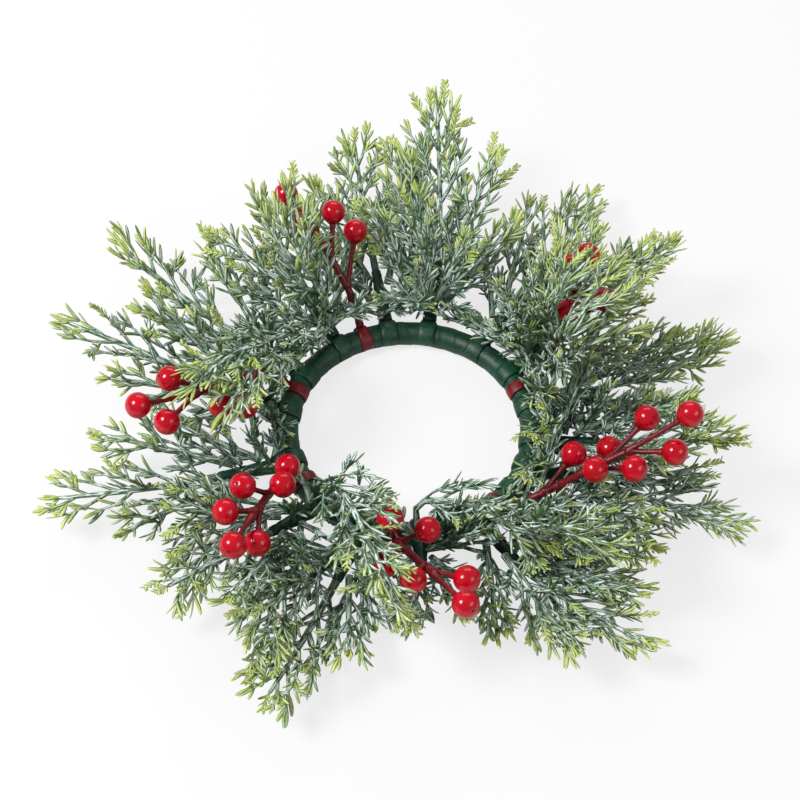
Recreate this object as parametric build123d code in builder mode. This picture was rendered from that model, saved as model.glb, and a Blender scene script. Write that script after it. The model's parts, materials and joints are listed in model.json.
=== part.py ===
from build123d import *
from collections import namedtuple
from math import cos, radians, sin
import os

# Candle ring: a taped wire ring with artificial cedar picks and berry picks.
# Millimetres and degrees. The origin is the ring's centre on the table, +Z is up
# and the front of the ring faces -Y.

# Ring
ring_radius = 50.0  # centre circle of the ring's tube
tube_radius = 5.0  # outside of the tape
wire_radius = 2.0
tape_clearance = 0.05  # between the wire and the tape
foot_depth = 0.5  # how deep the underside is cut flat

# Foot of each pick, which clasps the ring
clasp_clearance = 0.35
clasp_wall = 1.1
clasp_start = -30.0  # angles round the tube, from outward towards up
clasp_arc = 218.0
cedar_clasp_width = 7.0
berry_clasp_width = 5.0

# Cedar picks
spray_reach = 100.0  # the length that the reach shares follow
neck_length = 9.0  # from the tube's centre to the first sprays
stem_radius = 3.0
stem_end_radius = 2.0
spray_thickness = 1.0
spray_gap = 0.3  # between a stem and the sprays that it carries
rib_half_width = 1.3
twig_half_width = 0.85
leaf_half_width = 0.8
shortest_leafed_twig = 12.0
twig_angle = 46.0
leaf_angle = 42.0
stem_length_share = 0.22  # of the pick's reach
twig_stagger_share = 0.10  # left twigs start this much later than right ones
twig_shares = ((0.15, 0.30), (0.35, 0.37), (0.56, 0.31), (0.77, 0.20))  # station, length
leaf_shares = ((0.38, 0.28), (0.70, 0.21))  # station, length

# Berry picks
berry_reach = 100.0  # the length that the berry stems' shares follow
berry_radius = 5.0
neck_radius = 1.6
knee_radius = 1.85
branch_radius = 1.5
branch_end_radius = 1.1
stalk_radius = 0.8
stalk_clearance = 0.05
stalk_end_gap = 0.2
berry_bore_depth = 3.0
bore_overrun = 0.1
branch_length_share = 0.62  # of the length that the berries' places follow

# Where each spray of the fan leaves its stem: station share and lift, in the order
# near left, far left, end, far right, near right.
low_fan_shares = ((0.40, -5.5), (0.82, 2.5), (1.0, -3.5), (0.66, 7.0), (0.14, 0.5))
high_fan_shares = ((0.40, -3.0), (0.82, 5.5), (1.0, 1.0), (0.66, 10.5), (0.14, 3.5))

# Each cedar pick: its azimuth, rise and sweep, the share of spray_reach, the splay
# and length share of the five fan sprays, and the upright sprays of the top layer
# with their station share, splay, lift and length share.
Cedar = namedtuple("Cedar", "azimuth rise sweep reach fan_places fan uprights")
cedar_shares = (
    Cedar(10, 9, 0, 0.89, low_fan_shares,
          ((36, 0.35), (20, 0.58), (3, 0.68), (-29, 0.56), (-44, 0.31)),
          ((0.55, 56, 10, 0.33), (0.55, -56, 40, 0.29))),
    Cedar(31, 26, 0, 0.92, high_fan_shares,
          ((34, 0.52), (20, 0.54), (0, 0.68), (-22, 0.50), (-38, 0.48)),
          ((0.50, 36, 36, 0.40), (0.15, 62, 44, 0.38), (0.00, 104, 28, 0.33),
           (0.25, 72, 20, 0.35), (0.05, 30, 64, 0.33), (0.40, 26, 38, 0.37))),
    Cedar(52, 9, 0, 1.02, low_fan_shares,
          ((36, 0.36), (20, 0.52), (0, 0.72), (-28, 0.60), (-42, 0.48)),
          ((0.00, 120, 28, 0.21),)),
    Cedar(78, 26, 0, 1.08, high_fan_shares,
          ((38, 0.48), (22, 0.55), (6, 0.71), (-14, 0.58), (-32, 0.50)),
          ((0.50, 18, 32, 0.42), (0.15, -22, 46, 0.40), (0.10, 96, 44, 0.28),
           (0.25, 56, 20, 0.30), (0.55, -56, 40, 0.30), (0.05, 30, 64, 0.28),
           (0.40, 14, 46, 0.31), (0.55, 64, 20, 0.30), (0.25, -56, 40, 0.24))),
    Cedar(97, 9, 0, 1.05, low_fan_shares,
          ((34, 0.46), (20, 0.52), (0, 0.74), (-22, 0.66), (-36, 0.55)),
          ((0.55, 56, 10, 0.25),)),
    Cedar(122, 26, 0, 0.84, high_fan_shares,
          ((35, 0.46), (22, 0.60), (0, 0.64), (-20, 0.56), (-37, 0.52)),
          ((0.50, 28, 34, 0.42), (0.15, 60, 40, 0.40), (0.00, 104, 28, 0.32),
           (0.25, 72, 20, 0.38), (0.40, -56, 20, 0.27), (0.05, 30, 64, 0.36),
           (0.40, 14, 54, 0.40), (0.00, 112, 44, 0.21))),
    Cedar(146, 9, 0, 1.00, low_fan_shares,
          ((34, 0.44), (18, 0.52), (-3, 0.73), (-26, 0.60), (-40, 0.52)),
          ((0.55, 64, 10, 0.26),)),
    Cedar(169, 26, 0, 1.03, high_fan_shares,
          ((38, 0.34), (20, 0.55), (-2, 0.70), (-19, 0.54), (-37, 0.46)),
          ((0.00, 104, 28, 0.29), (0.55, 72, 20, 0.31), (0.55, -56, 30, 0.28),
           (0.35, 140, 64, 0.20), (0.20, 112, 36, 0.29))),
    Cedar(197, 9, 0, 1.01, low_fan_shares,
          ((34, 0.47), (18, 0.56), (-3, 0.69), (-24, 0.57), (-40, 0.50)),
          ((0.20, -96, 20, 0.21), (0.40, 56, 50, 0.26), (0.05, 0, 64, 0.27),
           (0.55, -26, 38, 0.22))),
    Cedar(224, 23, 0, 1.00, high_fan_shares,
          ((38, 0.32), (20, 0.60), (1, 0.66), (-18, 0.56), (-36, 0.52)),
          ((0.15, 56, 42, 0.36), (0.00, 104, 36, 0.30), (0.05, 60, 64, 0.30),
           (0.55, 26, 46, 0.30), (0.40, 80, 20, 0.32))),
    Cedar(246, 9, 0, 0.94, low_fan_shares,
          ((36, 0.34), (20, 0.44), (-1, 0.66), (-32, 0.50), (-43, 0.46)),
          ((0.40, 56, 10, 0.34), (0.70, -26, 38, 0.36))),
    Cedar(271, 26, -4, 0.76, high_fan_shares,
          ((38, 0.36), (18, 0.56), (-8, 0.62), (-32, 0.55), (-54, 0.46)),
          ((0.15, 56, 40, 0.46), (0.00, 112, 28, 0.39), (0.25, 72, 20, 0.42),
           (0.05, 60, 56, 0.39), (0.40, 56, 40, 0.42))),
    Cedar(299, 9, 0, 0.95, low_fan_shares,
          ((44, 0.44), (30, 0.54), (14, 0.64), (-8, 0.60), (-28, 0.52)),
          ((0.55, 56, 10, 0.31),)),
    Cedar(320, 24, -6, 0.80, high_fan_shares,
          ((38, 0.30), (10, 0.56), (-8, 0.66), (-26, 0.60), (-44, 0.54)),
          ((0.60, -20, 34, 0.42), (0.00, 104, 36, 0.38), (0.25, 80, 50, 0.40),
           (0.40, -56, 20, 0.29))),
    Cedar(336, 9, 0, 0.92, low_fan_shares,
          ((36, 0.35), (14, 0.54), (-2, 0.68), (-28, 0.54), (-40, 0.36)), ()),
    Cedar(350, 26, -11, 0.93, high_fan_shares,
          ((36, 0.42), (20, 0.50), (-2, 0.66), (-20, 0.50), (-36, 0.36)),
          ((0.15, 40, 44, 0.42), (0.00, 104, 52, 0.29), (0.25, 72, 30, 0.34),
           (0.40, -56, 20, 0.31), (0.55, 14, 46, 0.37), (0.00, 96, 20, 0.26))),
)

# Each berry pick: its azimuth, the rise and share of berry_reach of its neck, the
# sweep, rise and share of its branch, and for each berry the station share of its
# stalk, then its place along, beside and above the branch in shares of its length.
Berry = namedtuple("Berry", "azimuth neck_rise neck sweep rise branch places")
berry_shares = (
    Berry(157, 54, 0.18, 68, 27, 0.73,
          ((0.60, 0.98, -0.07, -0.01), (0.52, 0.76, -0.09, 0.08), (0.60, 0.89, 0.07, -0.05),
           (0.33, 0.63, 0.19, 0.05), (0.12, 0.41, 0.19, -0.02))),
    Berry(210, 50, 0.16, 42, 35, 0.67,
          ((0.27, 0.52, -0.10, 0.12), (0.13, 0.37, 0.09, 0.12), (0.0, 0.17, 0.06, 0.15),
           (0.54, 0.71, -0.13, 0.03), (0.62, 0.97, 0.0, -0.03), (0.48, 0.70, 0.07, -0.11))),
    Berry(260, 50, 0.16, 32, 37, 0.66,
          ((0.0, 0.36, -0.08, 0.28), (0.07, 0.33, 0.12, 0.12), (0.16, 0.51, -0.23, 0.10),
           (0.49, 0.67, -0.13, 0.03), (0.55, 0.78, 0.13, -0.03), (0.62, 0.97, 0.03, -0.07))),
    Berry(309, 52, 0.18, 56, 37, 0.79,
          ((0.15, 0.36, 0.11, 0.02), (0.25, 0.48, -0.08, 0.10), (0.36, 0.50, 0.12, -0.09),
           (0.42, 0.64, -0.12, 0.02), (0.50, 0.75, 0.14, -0.03), (0.62, 0.83, -0.09, -0.05),
           (0.62, 0.98, 0.01, 0.03))),
    Berry(20.5, 56, 0.20, 36, 45, 0.47,
          ((0.62, 0.95, 0.08, -0.18), (0.50, 0.83, 0.10, 0.17), (0.27, 0.69, -0.30, 0.15),
           (0.0, 0.53, -0.14, 0.58))),
    Berry(109.5, 52, 0.18, 21, 46, 0.54,
          ((0.38, 0.67, -0.19, 0.03), (0.11, 0.46, -0.25, 0.09), (0.45, 0.74, 0.14, 0.10),
           (0.62, 0.97, 0.05, -0.05))),
)

ring_height = tube_radius - foot_depth
clasp_inner = tube_radius + clasp_clearance
clasp_outer = clasp_inner + clasp_wall
stem_start = clasp_inner + clasp_wall / 2
up = Vector(0, 0, 1)
at_start = (Align.CENTER, Align.CENTER, Align.MIN)


def turned(vector, about, angle):
    return vector.rotate(Axis((0, 0, 0), about), angle)


def root_frame(azimuth):
    """The point on the ring's centre circle, the way outward and the way round."""
    outward = Vector(cos(radians(azimuth)), sin(radians(azimuth)), 0)
    return outward * ring_radius + up * ring_height, outward, up.cross(outward)


def heading(azimuth, sweep, rise):
    """The way that a stem points, and the way to its left."""
    _, outward, around = root_frame(azimuth)
    left = turned(around, up, sweep)
    return turned(turned(outward, up, sweep), -left, rise), left


def clasp(azimuth, width):
    """Wrapped foot that goes round the ring, open below."""
    root, outward, around = root_frame(azimuth)
    with BuildSketch(Plane(origin=root, x_dir=outward, z_dir=-around)) as section:
        with BuildLine():
            outer = CenterArc((0, 0), clasp_outer, clasp_start, clasp_arc)
            inner = CenterArc((0, 0), clasp_inner, clasp_start, clasp_arc)
            Line(outer @ 0, inner @ 0)
            Line(outer @ 1, inner @ 1)
        make_face()
    extrude(section.sketch, amount=width / 2, both=True)


def rod(start, way, length, radius, end_radius):
    """Round rod or cone that runs the given way from its start."""
    with Locations(Plane(origin=start, z_dir=way)):
        if radius == end_radius:
            Cylinder(radius, length, align=at_start)
        else:
            Cone(radius, end_radius, length, align=at_start)


def bored_ball(centre, stalk_way):
    """Round berry with a blind bore that takes the end of its stalk."""
    across = stalk_way.cross(up)
    with BuildSketch(Plane(origin=centre, x_dir=stalk_way, z_dir=across)) as section:
        Circle(berry_radius)
        Rectangle(2 * berry_radius, berry_radius, mode=Mode.SUBTRACT,
                  align=(Align.CENTER, Align.MAX))
        with Locations((berry_bore_depth - berry_radius, 0)):
            Rectangle(berry_bore_depth + bore_overrun, 2 * (stalk_radius + stalk_clearance),
                      mode=Mode.SUBTRACT, align=(Align.MAX, Align.CENTER))
    revolve(section.sketch, axis=Axis(centre, stalk_way))


def placed(points, base, angle):
    turn_x, turn_y = cos(radians(angle)), sin(radians(angle))
    return [(base[0] + x * turn_x - y * turn_y, base[1] + x * turn_y + y * turn_x)
            for x, y in points]


def leaf_points(length):
    return [(0, -leaf_half_width), (length, 0), (0, leaf_half_width)]


def branched(length, half_width, child_shares, stagger_share, angle, child):
    """Outline of a tapered rib with children on both sides, from right to left."""
    right = []
    left = []
    for station, share in child_shares:
        points = child(share * length)
        right += placed(points, (station * length, -half_width), -angle)
        left_base = ((station + stagger_share) * length, half_width)
        left = placed(points, left_base, angle) + left
    return [(0, -half_width)] + right + [(length, 0)] + left + [(0, half_width)]


def twig_points(length):
    leaves = leaf_shares if length > shortest_leafed_twig else ()
    return branched(length, twig_half_width, leaves, 0, leaf_angle, leaf_points)


def spray_points(length):
    return branched(length, rib_half_width, twig_shares, twig_stagger_share,
                    twig_angle, twig_points)


def spray_plane(pick, station_share, splay, lift):
    """Plane of a spray's middle, from its base, with x along its rib."""
    way, left = heading(pick.azimuth, pick.sweep, pick.rise)
    station = station_share * stem_length_share * spray_reach * pick.reach
    base = root_frame(pick.azimuth)[0] + way * (neck_length + station)
    above = way.cross(left)
    level_rib = turned(way, above, splay)
    across = above.cross(level_rib)
    rib = turned(level_rib, across, -lift)
    face = rib.cross(across)
    if station_share == 1:
        corner = rib_half_width * abs(sin(radians(splay)))
        return Plane(base + rib * ((spray_gap + corner) / cos(radians(splay))), rib, face)
    off = (rib - way * rib.dot(way)).normalized()
    reach_back = (rib_half_width * abs(across.dot(off))
                  + spray_thickness / 2 * abs(face.dot(off)))
    radius = stem_radius + (stem_end_radius - stem_radius) * station_share
    return Plane(base + off * (radius + spray_gap + reach_back), rib, face)


def save(piece, name):
    piece.part.label = name
    export_step(piece.part, f"parts/{name}.step")


os.makedirs("parts", exist_ok=True)

# Steel wire hoop inside the ring.
with BuildPart() as ring_frame_wire:
    with BuildSketch(Plane.XZ):
        with Locations((ring_radius, ring_height)):
            Circle(wire_radius)
    revolve(axis=Axis.Z)
save(ring_frame_wire, "ring_frame_wire")

# Green tape sleeve round the wire, pressed flat where it lies on the table.
with BuildPart() as ring_tape_wrap:
    with BuildSketch(Plane.XZ):
        with Locations((ring_radius, ring_height)):
            Circle(tube_radius)
            Circle(wire_radius + tape_clearance, mode=Mode.SUBTRACT)
        with Locations((ring_radius, 0)):
            Rectangle(2 * tube_radius, 2 * foot_depth, mode=Mode.SUBTRACT,
                      align=(Align.CENTER, Align.MAX))
    revolve(axis=Axis.Z)
save(ring_tape_wrap, "ring_tape_wrap")

# Cedar picks: a wrapped stem, then the flat sprays that it carries.
for number, pick in enumerate(cedar_shares, start=1):
    way, _ = heading(pick.azimuth, pick.sweep, pick.rise)
    root = root_frame(pick.azimuth)[0]
    reach = spray_reach * pick.reach
    with BuildPart() as cedar_stem:
        clasp(pick.azimuth, cedar_clasp_width)
        rod(root + way * stem_start, way, neck_length - stem_start, stem_radius, stem_radius)
        rod(root + way * neck_length, way, stem_length_share * reach,
            stem_radius, stem_end_radius)
    save(cedar_stem, f"cedar_pick_{number:02d}_stem")

    sprays = [(station, splay, lift, length) for (station, lift), (splay, length)
              in zip(pick.fan_places, pick.fan)] + list(pick.uprights)
    with BuildPart() as cedar_sprays:
        for station, splay, lift, length in sprays:
            with BuildSketch(spray_plane(pick, station, splay, lift)):
                with BuildLine():
                    Polyline(*spray_points(length * reach), close=True)
                make_face()
        extrude(amount=spray_thickness / 2, both=True, clean=False)
    save(cedar_sprays, f"cedar_pick_{number:02d}_sprays")

# Berry picks: a branching wrapped stem, then the berries on its stalks.
for number, pick in enumerate(berry_shares, start=1):
    root = root_frame(pick.azimuth)[0]
    neck_way, _ = heading(pick.azimuth, 0, pick.neck_rise)
    way, left = heading(pick.azimuth, pick.sweep, pick.rise)
    above = way.cross(left)
    knee = root + neck_way * berry_reach * pick.neck
    length = berry_reach * pick.branch
    berries = []
    for station, along, beside, over in pick.places:
        fork = knee + way * length * min(station, branch_length_share)
        centre = knee + (way * along + left * beside + above * over) * length
        berries.append((fork, centre, (centre - fork).normalized()))
    with BuildPart() as berry_stem:
        clasp(pick.azimuth, berry_clasp_width)
        rod(root + neck_way * stem_start, neck_way, berry_reach * pick.neck - stem_start,
            neck_radius, neck_radius)
        with Locations(knee):
            Sphere(knee_radius)
        rod(knee, way, length * branch_length_share, branch_radius, branch_end_radius)
        for fork, centre, stalk_way in berries:
            stalk_length = ((centre - fork).length - berry_radius
                            + berry_bore_depth - stalk_end_gap)
            rod(fork, stalk_way, stalk_length, stalk_radius, stalk_radius)
    save(berry_stem, f"berry_pick_{number}_stem")

    with BuildPart() as berry_heads:
        for _, centre, stalk_way in berries:
            bored_ball(centre, stalk_way)
    save(berry_heads, f"berry_pick_{number}_berries")
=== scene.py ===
import json
import math

import bpy
import numpy as np
from mathutils import Matrix, Vector

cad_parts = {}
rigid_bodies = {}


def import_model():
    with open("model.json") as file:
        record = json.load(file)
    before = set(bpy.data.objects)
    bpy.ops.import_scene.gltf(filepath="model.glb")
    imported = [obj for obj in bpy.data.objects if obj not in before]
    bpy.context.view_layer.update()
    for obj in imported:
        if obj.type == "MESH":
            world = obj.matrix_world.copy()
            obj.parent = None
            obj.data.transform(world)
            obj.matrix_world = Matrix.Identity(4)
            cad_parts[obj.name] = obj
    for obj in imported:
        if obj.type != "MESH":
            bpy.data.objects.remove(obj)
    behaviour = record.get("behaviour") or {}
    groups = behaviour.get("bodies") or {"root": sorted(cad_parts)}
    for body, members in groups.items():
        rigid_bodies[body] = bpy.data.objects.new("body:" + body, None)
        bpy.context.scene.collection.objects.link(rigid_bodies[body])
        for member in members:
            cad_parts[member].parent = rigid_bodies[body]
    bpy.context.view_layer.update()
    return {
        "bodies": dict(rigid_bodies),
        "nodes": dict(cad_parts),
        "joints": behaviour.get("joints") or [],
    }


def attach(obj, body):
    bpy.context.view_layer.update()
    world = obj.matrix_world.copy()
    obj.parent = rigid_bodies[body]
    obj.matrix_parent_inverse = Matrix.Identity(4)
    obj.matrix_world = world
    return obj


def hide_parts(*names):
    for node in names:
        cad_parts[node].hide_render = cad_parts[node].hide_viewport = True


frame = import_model()
MM = 0.001

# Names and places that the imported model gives.
ROOTS = {j["child"]: np.array(j["pos_m"]) for j in frame["joints"]}
CEDARS = sorted(b for b in frame["bodies"] if b.startswith("cedar"))
BERRY_PICKS = sorted(b for b in frame["bodies"] if b.startswith("berry"))

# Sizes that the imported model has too. The clasps run round the ring from an angle under
# its outer side, over the top and down the inner side, in degrees.
RING_RADIUS = 50.0 * MM
RING_HEIGHT = 4.5 * MM
TUBE_RADIUS = 5.0 * MM
CLASP_INNER = 5.35 * MM
CLASP_OUTER = 6.45 * MM
CLASP_START, CLASP_SPAN = -30, 218
CEDAR_CLASP_WIDTH = 7.0 * MM
BERRY_CLASP_WIDTH = 5.0 * MM
RIB_WIDTH = 2.6 * MM
BERRY_RADIUS = 5.0 * MM

# Vertices closer than this are one point of a CAD mesh, and a vertex within the slack
# lies on a line.
SAME_POINT = 0.002 * MM
LINE_SLACK = 0.03 * MM
UP = np.array([0, 0, 1.0])

# Seeds of the random draws; each pick adds its own number.
SPRAY_SEED, STEM_SEED, BERRY_SEED, RING_SEED = 100, 300, 500, 7


def unit(v):
    return v / np.linalg.norm(v)


def outward(place):
    """Level direction from the middle of the ring to a place."""
    return unit(np.array([place[0], place[1], 0.0]))


def distances(path):
    """Distance from the start of a path to each of its points."""
    return np.concatenate([[0], np.cumsum(np.linalg.norm(np.diff(path, axis=0), axis=1))])


def directions(path):
    """Unit direction of a path at each of its points."""
    ways = np.gradient(path, axis=0)
    return ways / np.linalg.norm(ways, axis=1)[:, None]


def solids_of(node):
    """The separate solids of a CAD node, each as an array of its vertices."""
    mesh = frame["nodes"][node].data
    co = np.array([v.co for v in mesh.vertices])
    keys = np.round(co / SAME_POINT).astype(np.int64)
    _, same = np.unique(keys, axis=0, return_inverse=True)
    same = same.ravel()
    parent = np.arange(same.max() + 1)

    def find(i):
        while parent[i] != i:
            parent[i] = parent[parent[i]]
            i = parent[i]
        return i

    for e in mesh.edges:
        a, b = find(same[e.vertices[0]]), find(same[e.vertices[1]])
        if a != b:
            parent[a] = b
    groups = np.array([find(i) for i in same])
    return [co[groups == g] for g in np.unique(groups)]


# Meshes


def add_mesh(name, verts, faces, material, body, node, colour=None):
    """A visible piece on its body, in place of a CAD node. colour holds four values for
    each point, which the materials read as the attribute leaf."""
    mesh = bpy.data.meshes.new(name)
    mesh.from_pydata(np.asarray(verts).tolist(), [], faces)
    mesh.validate()
    mesh.shade_smooth()
    if colour is not None:
        attr = mesh.attributes.new("leaf", "FLOAT_COLOR", "POINT")
        attr.data.foreach_set("color", np.asarray(colour, np.float32).ravel())
    obj = bpy.data.objects.new(name, mesh)
    bpy.context.scene.collection.objects.link(obj)
    mesh.materials.append(material)
    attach(obj, body)
    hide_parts(node)
    return obj


def wall(rings, sides):
    """Faces between the rings of a tube."""
    return [[k * sides + i, k * sides + (i + 1) % sides,
             (k + 1) * sides + (i + 1) % sides, (k + 1) * sides + i]
            for k in range(rings - 1) for i in range(sides)]


def caps(rings, sides):
    """The two end faces of a tube."""
    last = (rings - 1) * sides
    return [list(range(sides))[::-1], list(range(last, last + sides))]


def tube(path, radii, sides, up, ridge):
    """Closed tube through the points of a path. ridge(distance, angle) swells it."""
    path = np.asarray(path, float)
    run = distances(path)
    verts = []
    for k, (p, way) in enumerate(zip(path, directions(path))):
        side = unit(np.cross(way, up))
        top = np.cross(side, way)
        for i in range(sides):
            a = 2 * math.pi * i / sides
            r = radii[k] + ridge(run[k], a)
            verts.append(p + r * (math.cos(a) * side + math.sin(a) * top))
    return verts, wall(len(path), sides) + caps(len(path), sides)


def merged(pieces):
    """Verts and faces of several meshes as one."""
    verts, faces = [], []
    for v, f in pieces:
        base = len(verts)
        verts.extend(v)
        faces.extend([[i + base for i in face] for face in f])
    return verts, faces


# Share of a turn that a tape takes to climb over the turn below, on stems and on the
# ring, and on the clasps.
TAPE_LAP, CLASP_LAP = 0.12, 0.15


def tape_step(turn, lap):
    """Height of a tape from 0 to 1 at a share of its turn: it climbs over the turn below
    within the lap and then falls slowly."""
    return (1 - turn) if turn > lap else turn / lap


def tape_ridge(pitch, height, rng):
    """Steps and lumps of a tape that winds round a bar with this pitch."""
    phases = rng.uniform(0, 2 * math.pi, 6)
    waves = rng.uniform(0.6, 2.2, 3)

    def ridge(distance, angle):
        turn = (distance / pitch + angle / (2 * math.pi)) % 1.0
        step = height * (tape_step(turn, TAPE_LAP) - 0.5)
        lump = sum(math.sin(waves[i] * distance / (2 * MM) + phases[i]
                            + (i + 1) * angle) for i in range(3)) / 3
        return step + 0.35 * height * lump

    return ridge


# Materials


def material(name):
    """A new material, its nodes, its links and its shader."""
    mat = bpy.data.materials.new(name)
    mat.use_nodes = True
    nodes = mat.node_tree.nodes
    return mat, nodes, mat.node_tree.links, nodes["Principled BSDF"]


def mix(nodes, links, factor, a, b):
    """Colour mix of a and b, each a colour or a socket."""
    node = nodes.new("ShaderNodeMix")
    node.data_type = "RGBA"
    for value, socket in ((factor, node.inputs[0]), (a, node.inputs[6]), (b, node.inputs[7])):
        if isinstance(value, bpy.types.NodeSocket):
            links.new(value, socket)
        elif isinstance(value, tuple):
            socket.default_value = (*value, 1)
        else:
            socket.default_value = value
    return node.outputs[2]


def calc(nodes, links, operation, a, b=0.0, c=0.0, clamp=False):
    """Result of an operation on a, b and c, each a number or a socket."""
    node = nodes.new("ShaderNodeMath")
    node.operation = operation
    node.use_clamp = clamp
    for value, socket in zip((a, b, c), node.inputs):
        if isinstance(value, bpy.types.NodeSocket):
            links.new(value, socket)
        else:
            socket.default_value = value
    return node.outputs[0]


def noise(nodes, links, scale, detail, vector=None):
    """Noise over the object's own coordinates, or over another vector."""
    if vector is None:
        vector = nodes.new("ShaderNodeTexCoord").outputs["Object"]
    tex = nodes.new("ShaderNodeTexNoise")
    tex.inputs["Scale"].default_value = scale
    tex.inputs["Detail"].default_value = detail
    links.new(vector, tex.inputs["Vector"])
    return tex.outputs["Fac"]


def attribute(nodes, name, output):
    """Output of a node that reads a value stored on the mesh's points."""
    node = nodes.new("ShaderNodeAttribute")
    node.attribute_name = name
    return node.outputs[output]


def leaf_channels(nodes, links):
    """Red, green and blue of the colours stored on the mesh's points."""
    split = nodes.new("ShaderNodeSeparateColor")
    links.new(attribute(nodes, "leaf", "Color"), split.inputs[0])
    return split.outputs[0], split.outputs[1], split.outputs[2]


def ramp(nodes, links, value, low, high):
    """Smooth step from 0 at low to 1 at high."""
    node = nodes.new("ShaderNodeMapRange")
    node.interpolation_type = "SMOOTHSTEP"
    links.new(value, node.inputs[0])
    node.inputs[1].default_value = low
    node.inputs[2].default_value = high
    return node.outputs[0]


def bump(nodes, links, height, strength, distance, bsdf):
    """Fine relief of a shader; the distance is in metres."""
    node = nodes.new("ShaderNodeBump")
    node.inputs["Strength"].default_value = strength
    node.inputs["Distance"].default_value = distance
    links.new(height, node.inputs["Height"])
    links.new(node.outputs["Normal"], bsdf.inputs["Normal"])


# Colours of the moulded leaves: the base greens, the outer green, the yellows of the
# tips, the painted shade on faces that look down and in the grooves, and the frost.
GREENS = (0.022, 0.090, 0.045), (0.095, 0.215, 0.105)
OUTER_GREEN = (0.190, 0.330, 0.085)
YELLOWS = (0.38, 0.52, 0.05), (0.72, 0.82, 0.18)
UNDERSIDE_PAINTED_SHADE = (0.010, 0.045, 0.022)
GROOVE_PAINTED_SHADE = (0.010, 0.040, 0.024)
FROST = (0.76, 0.87, 0.84)


def foliage_material():
    """Moulded green plastic: red channel is the way to a leaf's tip, green the way out
    along the spray, blue a chance value, alpha how far a face looks up. The frost value
    is how frosted a spray is, and the grain vector runs along each leaf."""
    mat, nodes, links, bsdf = material("frosted_cedar")
    tip, out, chance = leaf_channels(nodes, links)
    upward = attribute(nodes, "leaf", "Alpha")
    amount = attribute(nodes, "frost", "Fac")
    lines = noise(nodes, links, 2.1, 2, attribute(nodes, "grain", "Vector"))
    # Green inside, with yellow tips on the outer leaves of the less frosted sprays.
    green = mix(nodes, links, chance, *GREENS)
    green = mix(nodes, links, out, green, OUTER_GREEN)
    yellow = mix(nodes, links, chance, *YELLOWS)
    where = calc(nodes, links, "MULTIPLY_ADD", chance, 0.60, out)
    where = calc(nodes, links, "MULTIPLY_ADD", amount, -0.30, where)
    fresh = calc(nodes, links, "MULTIPLY", ramp(nodes, links, tip, -0.1, 0.75),
                 ramp(nodes, links, where, 0.40, 1.0))
    colour = mix(nodes, links, fresh, green, yellow)
    # Painted shade: darker on the faces that look down and at the leaves' edges, and in the
    # grooves.
    shade = ramp(nodes, links, upward, 0.30, 0.78)
    shade = calc(nodes, links, "MULTIPLY_ADD", shade, -0.62, 0.62)
    colour = mix(nodes, links, shade, colour, UNDERSIDE_PAINTED_SHADE)
    groove_shade = ramp(nodes, links, lines, 0.47, 0.30)
    groove_shade = calc(nodes, links, "MULTIPLY", groove_shade, 0.55)
    colour = mix(nodes, links, groove_shade, colour, GROOVE_PAINTED_SHADE)
    # Frost in streaks along the ridges, in patches, and less on the fresh tips.
    patches = ramp(nodes, links, noise(nodes, links, 90, 3), 0.30, 0.62)
    streaks = ramp(nodes, links, lines, 0.46, 0.57)
    ridge = ramp(nodes, links, upward, 0.35, 0.9)
    film = calc(nodes, links, "MULTIPLY", patches, amount)
    frost = calc(nodes, links, "MULTIPLY", calc(nodes, links, "ADD", film, 0.50), streaks)
    frost = calc(nodes, links, "MULTIPLY", frost, ridge)
    bare = calc(nodes, links, "SUBTRACT", 1.0, calc(nodes, links, "MULTIPLY", fresh, 0.7))
    frost = calc(nodes, links, "MULTIPLY", frost, bare, clamp=True)
    colour = mix(nodes, links, frost, colour, FROST)
    links.new(colour, bsdf.inputs["Base Color"])
    rough = calc(nodes, links, "MULTIPLY_ADD", frost, 0.25, 0.42)
    links.new(rough, bsdf.inputs["Roughness"])
    bsdf.inputs["Specular IOR Level"].default_value = 0.4
    bump(nodes, links, lines, 0.5, 0.0003, bsdf)
    return mat


def tape_material(name, dark, light, rough):
    """Wound paper tape: a patchy colour with paler fibres."""
    mat, nodes, links, bsdf = material(name)
    weave = noise(nodes, links, 1500, 4)
    patch = noise(nodes, links, 160, 3)
    colour = mix(nodes, links, ramp(nodes, links, patch, 0.35, 0.65), dark, light)
    colour = mix(nodes, links, ramp(nodes, links, weave, 0.45, 0.8), colour,
                 tuple(min(1, 1.9 * c + 0.01) for c in light))
    links.new(colour, bsdf.inputs["Base Color"])
    links.new(calc(nodes, links, "MULTIPLY_ADD", weave, 0.25, rough), bsdf.inputs["Roughness"])
    bump(nodes, links, weave, 0.35, 0.0003, bsdf)
    return mat


# Colours of the berries: the skin, the painted shade of its lower side, and the stalk and
# blossom ends.
SKIN_REDS = (0.44, 0.0, 0.009), (0.58, 0.0, 0.015)
LOWER_SIDE_PAINTED_SHADE = (0.13, 0.0, 0.004)
STALK_END = (0.20, 0.001, 0.004)
BLOSSOM_END = (0.09, 0.004, 0.004)


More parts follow.
